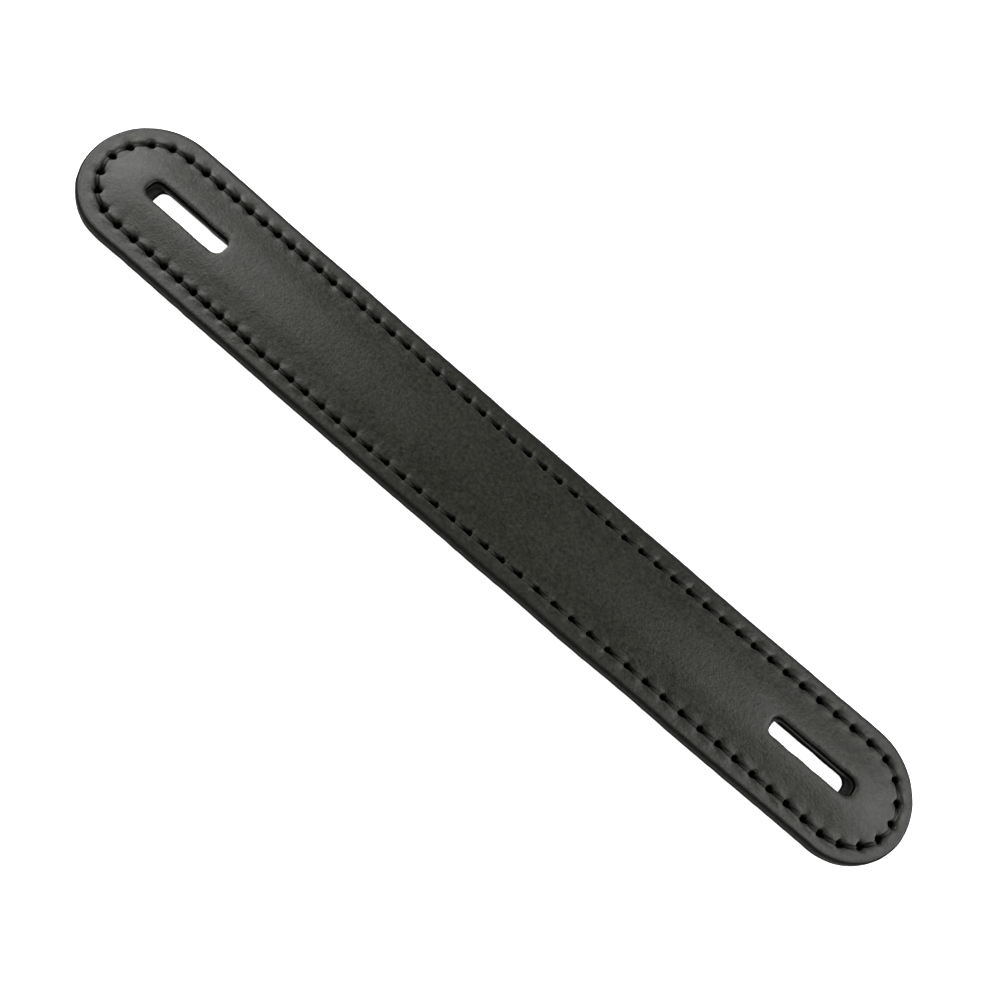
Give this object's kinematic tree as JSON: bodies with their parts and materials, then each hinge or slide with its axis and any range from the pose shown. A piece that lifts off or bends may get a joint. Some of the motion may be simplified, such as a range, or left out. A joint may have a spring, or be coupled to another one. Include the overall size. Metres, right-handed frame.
{
  "type": "leather strap handle",
  "caption": "Flat black leather carrying handle with rounded ends, stitched all round, with a lengthwise mounting slot near each end.",
  "frame": {"origin": "middle of the flat back face, on the surface that the strap lies on", "axes": "+X along the strap's length, +Y across its width, +Z out of the grain side"},
  "size_m": [0.2286, 0.0318, 0.0038],
  "materials": {
    "face_leather": "fine grain, semi-matte black, painted and burnished edges",
    "backing_leather": "matte black lining leather, painted edges",
    "filler_board": "bonded leather board, its edge painted black in the slots",
    "thread": "black waxed polyester thread"
  },
  "bodies": {
    "root": {"face_leather": "face_leather", "backing_leather": "backing_leather", "core_filler": "filler_board", "needle_thread": "thread", "bobbin_thread": "thread"}
  },
  "joints": []
}
